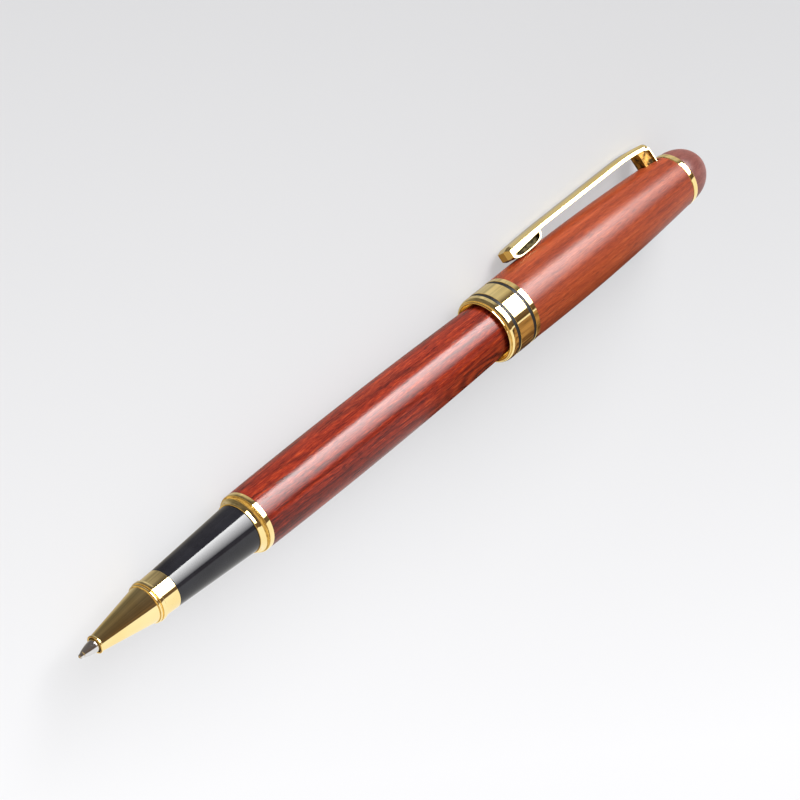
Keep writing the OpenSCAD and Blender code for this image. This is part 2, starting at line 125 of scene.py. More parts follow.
class Shader:
    """A material's or a world's node tree, with short ways to add and join nodes."""

    def __init__(self, name, world=False):
        self.owner = bpy.data.worlds.new(name) if world else bpy.data.materials.new(name)
        self.owner.use_nodes = True
        self.tree = self.owner.node_tree
        self.tree.nodes.clear()
        output = "ShaderNodeOutputWorld" if world else "ShaderNodeOutputMaterial"
        self.out = self.tree.nodes.new(output)

    def add(self, kind, **settings):
        node = self.tree.nodes.new(kind)
        for key, value in settings.items():
            setattr(node, key, value)
        return node

    def put(self, value, socket):
        """Links a socket's output or sets a plain value."""
        if isinstance(value, bpy.types.NodeSocket):
            self.tree.links.new(value, socket)
        else:
            socket.default_value = value

    def math(self, op, a, b=0.0):
        node = self.add("ShaderNodeMath", operation=op)
        self.put(a, node.inputs[0])
        self.put(b, node.inputs[1])
        return node.outputs[0]

    def plus(self, a, b):
        return self.math("ADD", a, b)

    def times(self, a, b):
        return self.math("MULTIPLY", a, b)

    def vector(self, op, a, b=(0, 0, 0)):
        node = self.add("ShaderNodeVectorMath", operation=op)
        self.put(a, node.inputs[0])
        self.put(b, node.inputs[1])
        return node.outputs["Value" if op in ("DOT_PRODUCT", "LENGTH") else "Vector"]

    def place(self, scale=(1, 1, 1), shift=(0, 0, 0)):
        """The piece's own coordinates in millimetres, scaled along each axis and then shifted."""
        coords = self.add("ShaderNodeTexCoord").outputs["Object"]
        scaled = self.vector("MULTIPLY", coords, tuple(PER_METRE * s for s in scale))
        return self.vector("ADD", scaled, shift)

    def split(self, vector):
        """The X, Y and Z of a vector."""
        node = self.add("ShaderNodeSeparateXYZ")
        self.put(vector, node.inputs[0])
        return node.outputs

    def noise(self, where, scale=1.0, detail=3.0, rough=0.55, distort=0.0):
        node = self.add("ShaderNodeTexNoise")
        self.put(where, node.inputs["Vector"])
        node.inputs["Scale"].default_value = scale
        node.inputs["Detail"].default_value = detail
        node.inputs["Roughness"].default_value = rough
        node.inputs["Distortion"].default_value = distort
        return node.outputs["Fac"]

    def remap(self, value, lo, hi, to_lo=0.0, to_hi=1.0, smooth=True):
        curve = "SMOOTHSTEP" if smooth else "LINEAR"
        node = self.add("ShaderNodeMapRange", interpolation_type=curve)
        self.put(value, node.inputs["Value"])
        node.inputs["From Min"].default_value = lo
        node.inputs["From Max"].default_value = hi
        node.inputs["To Min"].default_value = to_lo
        node.inputs["To Max"].default_value = to_hi
        return node.outputs["Result"]

    def ramp(self, value, stops):
        node = self.add("ShaderNodeValToRGB")
        self.put(value, node.inputs["Fac"])
        elements = node.color_ramp.elements
        while len(elements) < len(stops):
            elements.new(0.5)
        for element, (at, colour) in zip(elements, stops):
            element.position = at
            element.color = rgba(colour)
        return node.outputs["Color"]

    def mix(self, share, a, b, blend="MIX"):
        node = self.add("ShaderNodeMix", data_type="RGBA", blend_type=blend)
        self.put(share, node.inputs["Factor"])
        for value, key in ((a, "A"), (b, "B")):
            socket = next(s for s in node.inputs if s.name == key and s.type == "RGBA")
            self.put(rgba(value), socket)
        return next(s for s in node.outputs if s.type == "RGBA")

    def bump(self, height, distance, strength):
        node = self.add("ShaderNodeBump")
        self.put(height, node.inputs["Height"])
        node.inputs["Distance"].default_value = distance
        node.inputs["Strength"].default_value = strength
        return node.outputs["Normal"]

    def diffuse_ray(self):
        """1 for light that rough surfaces gather, and 0 for what is seen or mirrored."""
        return self.add("ShaderNodeLightPath").outputs["Is Diffuse Ray"]

    def glow(self, colour, strength=1.0):
        node = self.add("ShaderNodeEmission")
        self.put(rgba(colour), node.inputs["Color"])
        self.put(strength, node.inputs["Strength"])
        self.put(node.outputs[0], self.out.inputs["Surface"])

    def principled(self, colour, rough, normal=None, **fixed):
        node = self.add("ShaderNodeBsdfPrincipled")
        self.put(rgba(colour), node.inputs["Base Color"])
        self.put(rough, node.inputs["Roughness"])
        if normal is not None:
            self.put(normal, node.inputs["Normal"])
        for key, value in fixed.items():
            node.inputs[key.replace("_", " ")].default_value = value
        self.put(node.outputs[0], self.out.inputs["Surface"])
        return node


# The part of a noise that is spread over the whole of a range
NOISE_LOW, NOISE_HIGH = 0.3, 0.7
# Strength of the fine relief on each kind of surface
METAL_BUMP, PLASTIC_BUMP, PORE_BUMP, COAT_BUMP = 0.5, 0.4, 0.5, 0.6


def metal(name, pale, deep, rough, stretch=(0.4, 3, 3), relief=0.0006, patches=0.12):
    """Polished metal with faint drifts of tone and fine polishing marks. rough is a range, stretch
    the marks' fineness along each axis, relief their depth in mm, patches the drifts' fineness."""
    s = Shader(name)
    drift = s.noise(s.place((patches, patches, patches)), detail=2)
    marks = s.noise(s.place(stretch), scale=2.0, detail=4)
    s.principled(
        s.mix(s.remap(drift, NOISE_LOW, NOISE_HIGH), deep, pale),
        s.remap(marks, NOISE_LOW, NOISE_HIGH, *rough),
        s.bump(marks, relief * MM, METAL_BUMP),
        Metallic=1.0,
    )
    return s.owner


def plastic(name, colour_a, colour_b, rough, relief=0.002, **fixed):
    """Moulded plastic, lacquer or paste. rough is a range, relief a depth in mm."""
    s = Shader(name)
    drift = s.noise(s.place((0.2, 0.2, 0.2)), detail=3)
    grainy = s.noise(s.place((3, 3, 3)), detail=3)
    s.principled(
        s.mix(s.remap(drift, NOISE_LOW, NOISE_HIGH), colour_a, colour_b),
        s.remap(grainy, NOISE_LOW, NOISE_HIGH, *rough),
        s.bump(grainy, relief * MM, PLASTIC_BUMP),
        **fixed,
    )
    return s.owner


# ---------------------------------------------------------------- wood
# Fineness of each pattern per millimetre: along the grain, then across it
BROAD_FINENESS = (0.020, 0.22, 0.22)
STREAK_FINENESS = (0.065, 1.5, 1.5)
FIBRE_FINENESS = (0.55, 5.4, 5.4)
RING_WARP_FINENESS = (0.035, 0.20, 0.20)
RING_PATCH_FINENESS = (0.04, 0.35, 0.35)
VESSEL_FINENESS = (0.45, 4.6, 4.6)
VESSEL_GROUP_FINENESS = (0.07, 0.45, 0.45)

# How much each pattern counts in the tone, where the four tones lie, and the tone's spread
BROAD_SHARE, STREAK_SHARE, FIBRE_SHARE = 0.26, 0.32, 0.42
TONE_PLACES = (0.08, 0.36, 0.64, 0.95)
TONE_SPREAD = 0.15

# Growth rings: how far in mm the warp moves them, the part of each wave that is a dark line, and
# how faint they are between their patches
RING_WANDER = 3.2
RING_LINE = (0.35, 1.0)
RING_FAINTEST = 0.25

# Knot: stretched along the grain, with arcs this many mm apart that fade out from core to reach
KNOT_STRETCH = (0.42, 1, 1)
KNOT_SPACING = 1.7
KNOT_CORE, KNOT_REACH = 1.0, 6.5
KNOT_WARP, KNOT_RAGGED = 5.0, 0.9
KNOT_BRIGHT, KNOT_DARK = 0.45, 0.6

# Vessels: the ranges of noise over which a vessel and a group of them set in, how dark they are,
# and how faint they are between groups
VESSEL_EDGE = (0.57, 0.68)
VESSEL_GROUP_EDGE = (0.36, 0.62)
VESSEL_DARKNESS = 0.85
VESSEL_FAINTEST = 0.3

WOOD_ROUGHNESS = 0.6
PORE_RELIEF, COAT_RELIEF = 0.012 * MM, 0.010 * MM
COAT_IOR = 1.55

# The pen's axis in the pieces' own coordinates, in mm
AXIS_MM_Y, AXIS_MM_Z = PER_METRE * AXIS_Y, PER_METRE * AXIS_Z


def growth_rings(s, warp, heart, tilt, ring_width):
    """Dark rings, cut at a slant so that they come out as long pointed arcs."""
    split = s.split(s.place())
    off_y = s.plus(split["Y"], s.times(split["X"], tilt[0]))
    off_z = s.plus(split["Z"], s.times(split["X"], tilt[1]))
    off_y = s.math("SUBTRACT", off_y, AXIS_MM_Y + heart[0])
    off_z = s.math("SUBTRACT", off_z, AXIS_MM_Z + heart[1])
    far = s.math("SQRT", s.plus(s.times(off_y, off_y), s.times(off_z, off_z)))
    far = s.plus(far, s.times(warp, RING_WANDER))
    return s.remap(s.math("SINE", s.times(far, 2 * math.pi / ring_width)), *RING_LINE)


def with_knot(s, colour, knot, warp, streaks, bright, dark):
    """Lays bright and dark ragged arcs round the place knot over the colour."""
    away = s.vector("MULTIPLY", s.vector("SUBTRACT", s.place(), knot), KNOT_STRETCH)
    ragged = s.plus(s.times(warp, KNOT_WARP), s.times(streaks, KNOT_RAGGED))
    reach = s.plus(s.vector("LENGTH", away), ragged)
    swirl = s.math("SINE", s.times(reach, 2 * math.pi / KNOT_SPACING))
    near = s.remap(s.vector("LENGTH", away), KNOT_CORE, KNOT_REACH, 1.0, 0.0)
    colour = s.mix(s.times(near, s.remap(swirl, 0.0, -0.9, 0.0, KNOT_BRIGHT)), colour, bright)
    return s.mix(s.times(near, s.remap(swirl, 0.0, 1.0, 0.0, KNOT_DARK)), colour, dark)


def wood(name, tones, dark, seed, heart, tilt, ring_width, rings, coat_rough, coat,
         figure=1.0, knot=None):
    """Turned and lacquered wood with its grain along X.

    tones run from the darkest grain to the brightest, dark is for rings and vessels, and seed
    moves the patterns. heart is where the middle of the growth rings lies across the pen, in mm
    from its axis, tilt is their slant along it, ring_width is in mm and rings is their strength.
    figure is the contrast of the grain. knot is the place in mm that a swirl closes round."""
    s = Shader(name)
    shift = (seed, 1.7 * seed, 2.3 * seed)
    broad = s.noise(s.place(BROAD_FINENESS, shift), detail=2, distort=0.5)
    streaks = s.noise(s.place(STREAK_FINENESS, shift), detail=4, rough=0.65, distort=0.2)
    fibres = s.noise(s.place(FIBRE_FINENESS, shift), detail=3, rough=0.7)
    tone = s.plus(s.times(broad, BROAD_SHARE), s.times(streaks, STREAK_SHARE))
    tone = s.plus(tone, s.times(fibres, FIBRE_SHARE))
    spread_by = TONE_SPREAD / figure
    tone = s.remap(tone, 0.5 - spread_by, 0.5 + spread_by, smooth=False)
    colour = s.ramp(tone, list(zip(TONE_PLACES, tones)))

    warp = s.noise(s.place(RING_WARP_FINENESS, shift), detail=2)
    line = growth_rings(s, warp, heart, tilt, ring_width)
    patches = s.noise(s.place(RING_PATCH_FINENESS, shift), detail=2)
    patchy = s.remap(patches, 0.40, 0.60, RING_FAINTEST, 1.0)
    colour = s.mix(s.times(s.times(line, patchy), rings), colour, dark)
    if knot:
        colour = with_knot(s, colour, knot, warp, streaks, tones[-1], dark)

    # Short dark vessels along the grain
    vessel_shift = (seed + 9, seed, seed)
    cells = s.noise(s.place(VESSEL_FINENESS, vessel_shift), detail=2, rough=0.6)
    groups = s.noise(s.place(VESSEL_GROUP_FINENESS, shift))
    group = s.remap(groups, *VESSEL_GROUP_EDGE, VESSEL_FAINTEST, 1.0)
    hole = s.times(s.remap(cells, *VESSEL_EDGE), group)
    colour = s.mix(s.times(hole, VESSEL_DARKNESS), colour, dark)

    height = s.math("SUBTRACT", s.times(fibres, 0.8), hole)
    node = s.principled(
        colour, WOOD_ROUGHNESS, s.bump(height, PORE_RELIEF, PORE_BUMP),
        Specular_IOR_Level=0.0, Coat_Weight=coat, Coat_Roughness=coat_rough, Coat_IOR=COAT_IOR,
    )
    s.put(s.bump(height, COAT_RELIEF, COAT_BUMP), node.inputs["Coat Normal"])
    return s.owner


# ---------------------------------------------------------------- materials
GOLD = metal("gold_plate", (1.0, 0.82, 0.42), (0.95, 0.74, 0.33), rough=(0.03, 0.075))
# Painted shade: a near-black gold for the faces in the clip foot's hollow, much darker than the
# plating, standing for the shade and dark reflections that fall there
HOLLOW_PAINTED_SHADE_GOLD = metal(
    "gold_painted_shade", (0.060, 0.050, 0.022), (0.012, 0.010, 0.006), rough=(0.45, 0.6),
    stretch=(1.5, 1.5, 1.5), relief=0.004, patches=1.2,
)
# Painted reflection and shade: an amber to dark brown gold for the clip's post under the bend,
# standing for the wood reflected in it and the shade there, not the plating's own colour
POST_PAINTED_REFLECTION_GOLD = metal(
    "gold_painted_reflection_and_shade", (0.40, 0.21, 0.05), (0.022, 0.013, 0.006), rough=(0.2, 0.4),
    stretch=(1.5, 1.5, 1.5), relief=0.004, patches=0.9,
)
BRASS = metal(
    "raw_brass", (0.80, 0.58, 0.28), (0.66, 0.45, 0.2), rough=(0.2, 0.34),
    stretch=(3, 0.6, 0.6), relief=0.004,
)
STEEL = metal(
    "steel", (0.74, 0.73, 0.73), (0.62, 0.61, 0.62), rough=(0.08, 0.16),
    stretch=(3, 0.5, 0.5), relief=0.001,
)
LACQUER = plastic(
    "black_lacquer", (0.010, 0.010, 0.013), (0.016, 0.016, 0.020), rough=(0.05, 0.09),
    relief=0.0006, IOR=1.43,
)
ENAMEL = plastic(
    "black_enamel", (0.008, 0.008, 0.009), (0.014, 0.013, 0.013), rough=(0.4, 0.55), IOR=1.4,
)
WHITE = plastic("white_plastic", (0.80, 0.80, 0.77), (0.72, 0.72, 0.69), rough=(0.35, 0.5))
INK = plastic("ink", (0.01, 0.01, 0.06), (0.02, 0.02, 0.10), rough=(0.05, 0.12))
GREASE = plastic("follower", (0.72, 0.66, 0.36), (0.62, 0.56, 0.28), rough=(0.15, 0.3))

BARREL_WOOD = wood(
    "barrel_wood",
    tones=((0.040, 0.004, 0.003), (0.125, 0.0105, 0.0045),
           (0.24, 0.020, 0.0065), (0.43, 0.056, 0.012)),
    dark=(0.026, 0.004, 0.004), seed=11.3, heart=(7.5, 4.5), tilt=(0.045, 0.028),
    ring_width=1.25, rings=0.5, coat_rough=0.21, coat=0.56, knot=(-14.0, 4.2, 11.6),
)
CAP_WOOD = wood(
    "cap_wood",
    tones=((0.12, 0.015, 0.006), (0.22, 0.031, 0.010),
           (0.33, 0.055, 0.016), (0.46, 0.098, 0.027)),
    dark=(0.11, 0.017, 0.008), seed=37.1, heart=(9.5, 2.0), tilt=(0.030, 0.010),
    ring_width=0.9, rings=0.3, coat_rough=0.32, coat=0.66, figure=0.8,
)
DOME_WOOD = wood(
    "dome_wood",
    tones=((0.11, 0.032, 0.028), (0.17, 0.053, 0.045),
           (0.22, 0.075, 0.062), (0.27, 0.10, 0.08)),
    dark=(0.11, 0.028, 0.022), seed=5.9, heart=(8.0, 3.0), tilt=(0.2, 0.1),
    ring_width=1.1, rings=0.3, coat_rough=0.32, coat=0.6, figure=0.8,
)

LOOKS = {
    "gold_plate": GOLD, "raw_brass": BRASS, "steel": STEEL, "barrel_wood": BARREL_WOOD,
    "cap_wood": CAP_WOOD, "dome_wood": DOME_WOOD, "black_lacquer": LACQUER,
    "white_plastic": WHITE, "ink": INK, "follower": GREASE,
}
SLOT_OF = {part["node"]: part["material_slot"] for part in frame["record"]["subparts"]}

for name, node in frame["nodes"].items():
    node.data.materials.clear()
    node.data.materials.append(LOOKS[SLOT_OF[name]])

# ---------------------------------------------------------------- mesh helpers
SEGMENTS = 192
ROUNDING_STEPS = 5
# A corner's rounding takes at most this share of each side
ROUNDING_SHARE = 0.45
SLEEVE_STEPS = 60
SHARP_ANGLE = math.radians(32)
ON_AXIS = 1e-7


def finish_piece(mesh, name, stands_for, body, slot, look=None):
    obj = show(name, mesh)
    mesh.materials.clear()
    mesh.materials.append(look or LOOKS[slot])
    mesh.polygons.foreach_set("use_smooth", [True] * len(mesh.polygons))
    mesh.set_sharp_from_angle(angle=SHARP_ANGLE)
    flat = obj.modifiers.new("flat_faces_stay_flat", "WEIGHTED_NORMAL")
    flat.keep_sharp = True
    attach(obj, body)
    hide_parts(*stands_for)
    return obj


def spread(start, end, count):
    """count + 1 even steps from start to end."""
    return [start + (end - start) * i / count for i in range(count + 1)]


def softened(points):
    """Rounds the corners of a closed outline of (x, radius, rounding) points."""
    out = []
    for i, (x, r, cut) in enumerate(points):
        here = Vector((x, r))
        if cut == 0:
            out.append(here)
            continue
        before = Vector(points[i - 1][:2]) - here
        after = Vector(points[(i + 1) % len(points)][:2]) - here
        start = here + before.normalized() * min(cut, before.length * ROUNDING_SHARE)
        end = here + after.normalized() * min(cut, after.length * ROUNDING_SHARE)
        for k in range(ROUNDING_STEPS + 1):
            t = k / ROUNDING_STEPS
            out.append(start * (1 - t) ** 2 + here * 2 * t * (1 - t) + end * t * t)
    return out


def mesh_of(name, bm):
    """The bmesh as a mesh. The bmesh is freed."""
    mesh = bpy.data.meshes.new(name)
    bm.to_mesh(mesh)
    bm.free()
    return mesh


def closed_mesh(name, bm):
    """The mesh of a closed solid, with all its faces looking outwards."""
    bmesh.ops.recalc_face_normals(bm, faces=bm.faces)
    if bm.calc_volume(signed=True) < 0:
        bmesh.ops.reverse_faces(bm, faces=bm.faces)
    return mesh_of(name, bm)


def turned_mesh(name, points):
    """A solid of revolution about the pen's axis, from a closed outline of (x, radius, rounding)
    in metres."""
    bm = bmesh.new()
    rings = []
    for p in softened(points):
        if p.y < ON_AXIS:
            rings.append([bm.verts.new((p.x, AXIS_Y, AXIS_Z))])
            continue
        rings.append([
            bm.verts.new((
                p.x,
                AXIS_Y + p.y * math.cos(2 * math.pi * k / SEGMENTS),
                AXIS_Z + p.y * math.sin(2 * math.pi * k / SEGMENTS),
            ))
            for k in range(SEGMENTS)
        ])
    for a, b in zip(rings, rings[1:] + rings[:1]):
        if len(a) == 1 and len(b) == 1:
            continue
        for k in range(SEGMENTS):
            n = (k + 1) % SEGMENTS
            corners = [a[k % len(a)], a[n % len(a)], b[n % len(b)], b[k % len(b)]]
            bm.faces.new(list(dict.fromkeys(corners)))
    return closed_mesh(name, bm)


def turned(name, points, stands_for, body, slot, look=None):
    return finish_piece(turned_mesh(name, points), name, stands_for, body, slot, look)


def mm(x, *pairs):
    """Outline points from (millimetres behind x, radius in mm, rounding in mm)."""
    return [(x - along * MM, r * MM, cut * MM) for along, r, cut in pairs]


def arc(x, r, size_x, size_r, start, end, steps=8):
    """Points of an elliptical arc about x in metres and r in mm, its half axes in mm, from start
    to end in degrees: 0 points forward, 90 outward."""
    angles = [math.radians(a) for a in spread(start, end, steps)]
    return [
        (x + size_x * MM * math.cos(a), (r + size_r * math.sin(a)) * MM, 0) for a in angles
    ]


def clip_point(x, height, across):
    """A point of the clip: its X in metres, and in mm its height above the axis and its place
    across the clip."""
    middle = Vector((x, AXIS_Y, AXIS_Z))
    return middle + CLIP_OUT * (height * MM) + CLIP_SIDE * (across * MM)


def lofted(name, layers):
    """A solid through equal closed loops of points, capped at both ends."""
    bm = bmesh.new()
    loops = [[bm.verts.new(p) for p in layer] for layer in layers]
    count = len(layers[0])
    for low, high in zip(loops, loops[1:]):
        for i in range(count):
            n = (i + 1) % count
            bm.faces.new((low[i], low[n], high[n], high[i]))
    ends = [bm.faces.new(loops[0]), bm.faces.new(loops[-1])]
    bmesh.ops.triangulate(bm, faces=ends)
    return closed_mesh(name, bm)


def drawn_in(outline, distance):
    """The outline of (x in metres, height in mm) points moved inwards, for rounding an edge."""
    flat = [Vector((x / MM, h)) for x, h in outline]
    turn = sum(a.cross(b) for a, b in zip(flat, flat[1:] + flat[:1]))
    sign = 1 if turn > 0 else -1
    out = []
    for i, here in enumerate(flat):
        before = (here - flat[i - 1]).normalized()
        after = (flat[(i + 1) % len(flat)] - here).normalized()
        normal_a = Vector((-before.y, before.x)) * sign
        normal_b = Vector((-after.y, after.x)) * sign
        middle = (normal_a + normal_b).normalized()
        moved = here + middle * (distance / max(0.5, middle.dot(normal_a)))
        out.append((moved.x * MM, moved.y))
    return out


def layered(name, sides):
    """A solid through (place across the clip, side view) pairs and their mirror images, widest
    first."""
    layers = [(-across, view) for across, view in sides]
    layers += [(across, view) for across, view in reversed(sides)]
    return lofted(name, [[clip_point(x, h, across) for x, h in view] for across, view in layers])


def across_clip(name, outline, half, rounding=0.0):
    """A solid with this side view, from -half to +half mm across the clip, with its side edges
    rounded."""
    if rounding == 0:
        return layered(name, [(half, outline)])
    angles = [math.radians(a) for a in (0.0, 22.5, 45.0, 67.5, 90.0)]
    return layered(name, [
        (half - rounding * (1 - math.cos(a)), drawn_in(outline, rounding * (1 - math.sin(a))))
        for a in angles
    ])


def combined(mesh, others, operation):
    """The mesh joined with, or cut by, the others. The solids are sized up from metres to
    millimetres for it, where the solver is steadier, and the result is sized down again."""
    for solid in (mesh, *others):
        solid.transform(Matrix.Scale(PER_METRE, 4))
    base = show("work", mesh)
    made = [base]
    for other in others:
        tool = show("tool", other)
        made.append(tool)
        step = base.modifiers.new("step", "BOOLEAN")
        step.operation, step.solver, step.object = operation, "EXACT", tool
    bpy.context.view_layer.update()
    evaluated = base.evaluated_get(bpy.context.evaluated_depsgraph_get())
    result = bpy.data.meshes.new_from_object(evaluated)
    result.transform(Matrix.Scale(MM, 4))
    result.name = mesh.name
    for obj in made:
        old = obj.data
        bpy.data.objects.remove(obj)
        bpy.data.meshes.remove(old)
    return result


# ---------------------------------------------------------------- writing end
# Radii in mm of the bores and seats that pieces share
POINT_BORE = 1.43
COUPLING_BORE = 3.1
SECTION_BORE = 3.45
BARREL_BORE = 4.5
CAP_BORE = 5.75
SCREW_BORE = 1.25

mouth = front("nose_cone")
lip = mouth - 13.2 * MM
grip = front("grip_section")
cone_back = back("nose_cone")
turned("nose_cone_gold", [
    # Rolled bead at the mouth
    *mm(mouth, (0.12, POINT_BORE, 0.04), (0.0, 1.50, 0.05)),
    *arc(mouth - 0.25 * MM, 1.63, 0.25, 0.17, 35, 160),
    *mm(mouth, (0.52, 1.67, 0.04)),
    # The cone, its lip and the sleeve behind
    *mm(lip, (-0.72, 3.61, 0.03)),
    *arc(lip + 0.42 * MM, 3.68, 0.28, 0.25, 10, 170, 10),
    *mm(lip, (-0.08, 3.73, 0.02), (-0.05, 3.74, 0.02)),
    *arc(lip - 0.16 * MM, 3.84, 0.21, 0.21, 0, 90),
    *arc(lip - 0.72 * MM, 3.84, 0.18, 0.21, 90, 180),
    *mm(lip, (0.90, 3.79, 0.03)),
    *mm(grip, (-0.05, 3.91, 0.04), (0.0, 3.86, 0.02), (0.0, SECTION_BORE, 0)),
    # The inside, back to the mouth
    *mm(cone_back, (0.0, SECTION_BORE, 0), (0.0, COUPLING_BORE, 0)),
    *mm(lip, (0.2, COUPLING_BORE, 0), (-1.8, 2.9, 0)),
    *mm(mouth, (4.0, 1.88, 0), (3.4, POINT_BORE, 0)),
], ["nose_cone"], "section", "gold_plate")

point, point_back = front("refill_point"), back("refill_point")
turned("refill_point_steel", [
    *mm(point, (0.0, 0.36, 0.03), (0.0, 0.39, 0.02), (0.55, 0.52, 0.15), (0.75, 0.66, 0.1),
        (2.0, 1.04, 0.6), (3.1, 1.21, 0.5), (3.6, 1.24, 0.3)),
    *mm(point_back, (0.0, 1.25, 0), (0.0, 0, 0)),
    *mm(point, (0.6, 0, 0), (0.35, 0.36, 0)),
], ["refill_point"], "refill", "steel")

turned("grip_section_black", [
    *mm(grip, (0.0, SECTION_BORE, 0), (0.0, 3.88, 0.10)),
    *mm(back("grip_section"), (0.0, 4.9, 0.04), (0.0, SECTION_BORE, 0)),
], ["grip_section"], "section", "black_lacquer")

COLLAR_NECK = 5.12
FLARE_START, FLARE_LENGTH, FLARE_RISE = 0.42, 1.04, 0.66
collar = front("section_collar")
turned("section_collar_gold", [
    *mm(collar, (0.0, SECTION_BORE, 0), (0.0, 5.03, 0.04), (0.08, COLLAR_NECK, 0.06),
        (FLARE_START, COLLAR_NECK, 0)),
    *mm(collar, *[
        (FLARE_START + FLARE_LENGTH * math.sin(a), COLLAR_NECK + FLARE_RISE * (1 - math.cos(a)), 0)
        for a in (math.radians(7.5 * i) for i in range(1, 13))
    ]),
    *mm(collar, (1.50, 5.85, 0.03), (1.55, 5.80, 0.02), (1.55, SECTION_BORE, 0)),
], ["section_collar"], "section", "gold_plate")

RING_BORE = 4.11
ring = front("barrel_ring")
wood_front = front("barrel_sleeve")
turned("barrel_ring_gold", [
    *mm(ring, (0.0, RING_BORE, 0), (0.0, 5.72, 0.03)),
    *arc(ring - 0.15 * MM, 5.77, 0.15, 0.15, 0, 90),
    *mm(wood_front, (-0.04, 5.92, 0.02), (0.0, 5.88, 0), (0.0, BARREL_BORE, 0)),
    *mm(ring, (0.4, BARREL_BORE, 0), (0.4, RING_BORE, 0)),
], ["barrel_ring"], "barrel", "gold_plate")

# ---------------------------------------------------------------- barrel
wood_back = back("barrel_sleeve")
band_mouth = front("centre_band")


def swollen(u, at_front, at_back, bulge):
    """Radius in metres at the share u of a sleeve's length; it bulges in the middle. All in mm."""
    return (at_front * (1 - u) + at_back * u + 4 * bulge * u * (1 - u)) * MM


def barrel_radius(x):
    return swollen((wood_front - x) / (wood_front - band_mouth), 5.92, 5.47, 0.37)


turned("barrel_wood_sleeve", [
    *mm(wood_front, (0.0, BARREL_BORE, 0)),
    *[(x, barrel_radius(x), 0) for x in spread(wood_front, wood_back, SLEEVE_STEPS)],
    *mm(wood_back, (0.0, BARREL_BORE, 0)),
], ["barrel_sleeve"], "barrel", "barrel_wood")

# ---------------------------------------------------------------- cap
BAND_RADIUS = 6.85
BAND_EDGE = 0.04
LINE_FLOOR, LINE_TOP = 6.55, 6.76
cap_wood = front("cap_sleeve")
liner = front("cap_liner_tube")
lines = {name: front(name) for name in ("band_line_front", "band_line_rear")}
line_width = front("band_line_front") - back("band_line_front")
grooves = []
for line in lines.values():
    grooves += [
        *mm(line, (-BAND_EDGE, BAND_RADIUS, 0), (0.0, BAND_RADIUS - BAND_EDGE, 0),
            (0.0, LINE_FLOOR, 0)),
        *mm(line - line_width, (0.0, LINE_FLOOR, 0), (0.0, BAND_RADIUS - BAND_EDGE, 0),
            (BAND_EDGE, BAND_RADIUS, 0)),
    ]
turned("centre_band_gold", [
    *arc(band_mouth - 0.15 * MM, 6.2, 0.15, 0.15, -90, 90, 10),
    *mm(band_mouth, (0.30, 6.36, 0.04)),
    *mm(band_mouth, *[
        (0.30 + 1.05 * (1 - math.cos(a)), 6.42 + 0.43 * math.sin(a), 0)
        for a in (math.radians(90 * i / 14) for i in range(15))
    ]),
    *grooves,
    *mm(cap_wood, (-BAND_EDGE, BAND_RADIUS, 0), (0.0, BAND_RADIUS - BAND_EDGE, 0),
        (0.0, CAP_BORE, 0)),
    *mm(liner, (0.0, CAP_BORE, 0), (0.0, 6.05, 0)),
], ["centre_band"], "cap", "gold_plate")
for name, line in lines.items():
    turned(name + "_enamel", [
        *mm(line, (0.0, LINE_FLOOR, 0), (0.0, LINE_TOP, BAND_EDGE)),
        *mm(line - line_width, (0.0, LINE_TOP, BAND_EDGE), (0.0, LINE_FLOOR, 0)),
    ], [name], "cap", "black_lacquer", ENAMEL)

cap_end = front("finial_ring")
clip_end, clip_back = front("clip"), back("clip")
post_front = clip_back + 3.5 * MM
sheet_front = clip_back + 0.7 * MM
POST_HALF, SHEET_HALF = 1.3, 1.8
SLOT_GAP = 0.25
SLOT_LOW, SLOT_HIGH = 3.8, 6.6
CAP_INSET = 0.005


def cap_radius(x):
    return swollen((cap_wood - x) / (cap_wood - cap_end), 6.82, 5.5, 0.54)


def clip_slot(x_front, half):
    """Room in the cap for the clip's post or sheet, with a gap on all sides."""
    ahead, behind = x_front + SLOT_GAP * MM, clip_back - SLOT_GAP * MM
    corners = [(ahead, SLOT_LOW), (ahead, SLOT_HIGH), (behind, SLOT_HIGH), (behind, SLOT_LOW)]
    return across_clip("slot", corners, half + SLOT_GAP)


anchor = front("clip_anchor")
cap_solid = turned_mesh("cap_wood_sleeve", [
    *mm(cap_wood, (0.0, CAP_BORE, 0)),
    *[
        (x, cap_radius(x) - CAP_INSET * MM, 0)
        for x in spread(cap_wood, cap_end, SLEEVE_STEPS)
    ],
    *mm(cap_end, (0.0, 4.7, 0)),
    *mm(anchor, (0.0, 4.7, 0), (0.0, 5.45, 0)),
    *mm(back("cap_liner_tube"), (0.0, CAP_BORE, 0)),
])
slots = [clip_slot(post_front, POST_HALF), clip_slot(sheet_front, SHEET_HALF)]
finish_piece(
    combined(cap_solid, slots, "DIFFERENCE"),
    "cap_wood_sleeve", ["cap_sleeve"], "cap", "cap_wood",
)

dome = front("finial_dome")
turned("finial_ring_gold", [
    *mm(cap_end, (0.0, SCREW_BORE, 0), (0.0, 5.38, 0.03)),
    *arc(cap_end - 0.15 * MM, 5.40, 0.15, 0.15, 0, 90, 6),
    *arc(dome + 0.15 * MM, 5.40, 0.15, 0.15, 90, 180, 6),
    *mm(dome, (0.0, 5.38, 0.03), (0.0, SCREW_BORE, 0)),
], ["finial_ring"], "cap", "gold_plate")

DOME_RADIUS = 5.42
SCREW_DEPTH = 4
dome_height = dome - back("finial_dome")
turned("finial_dome_wood", [
    *mm(dome, (SCREW_DEPTH, 0, 0), (SCREW_DEPTH, SCREW_BORE, 0), (0.0, SCREW_BORE, 0)),
    *[
        (dome - dome_height * math.sin(a), DOME_RADIUS * MM * math.cos(a), 0)
        for a in (math.radians(90 * i / 40) for i in range(41))
    ],
], ["finial_dome"], "cap", "dome_wood")

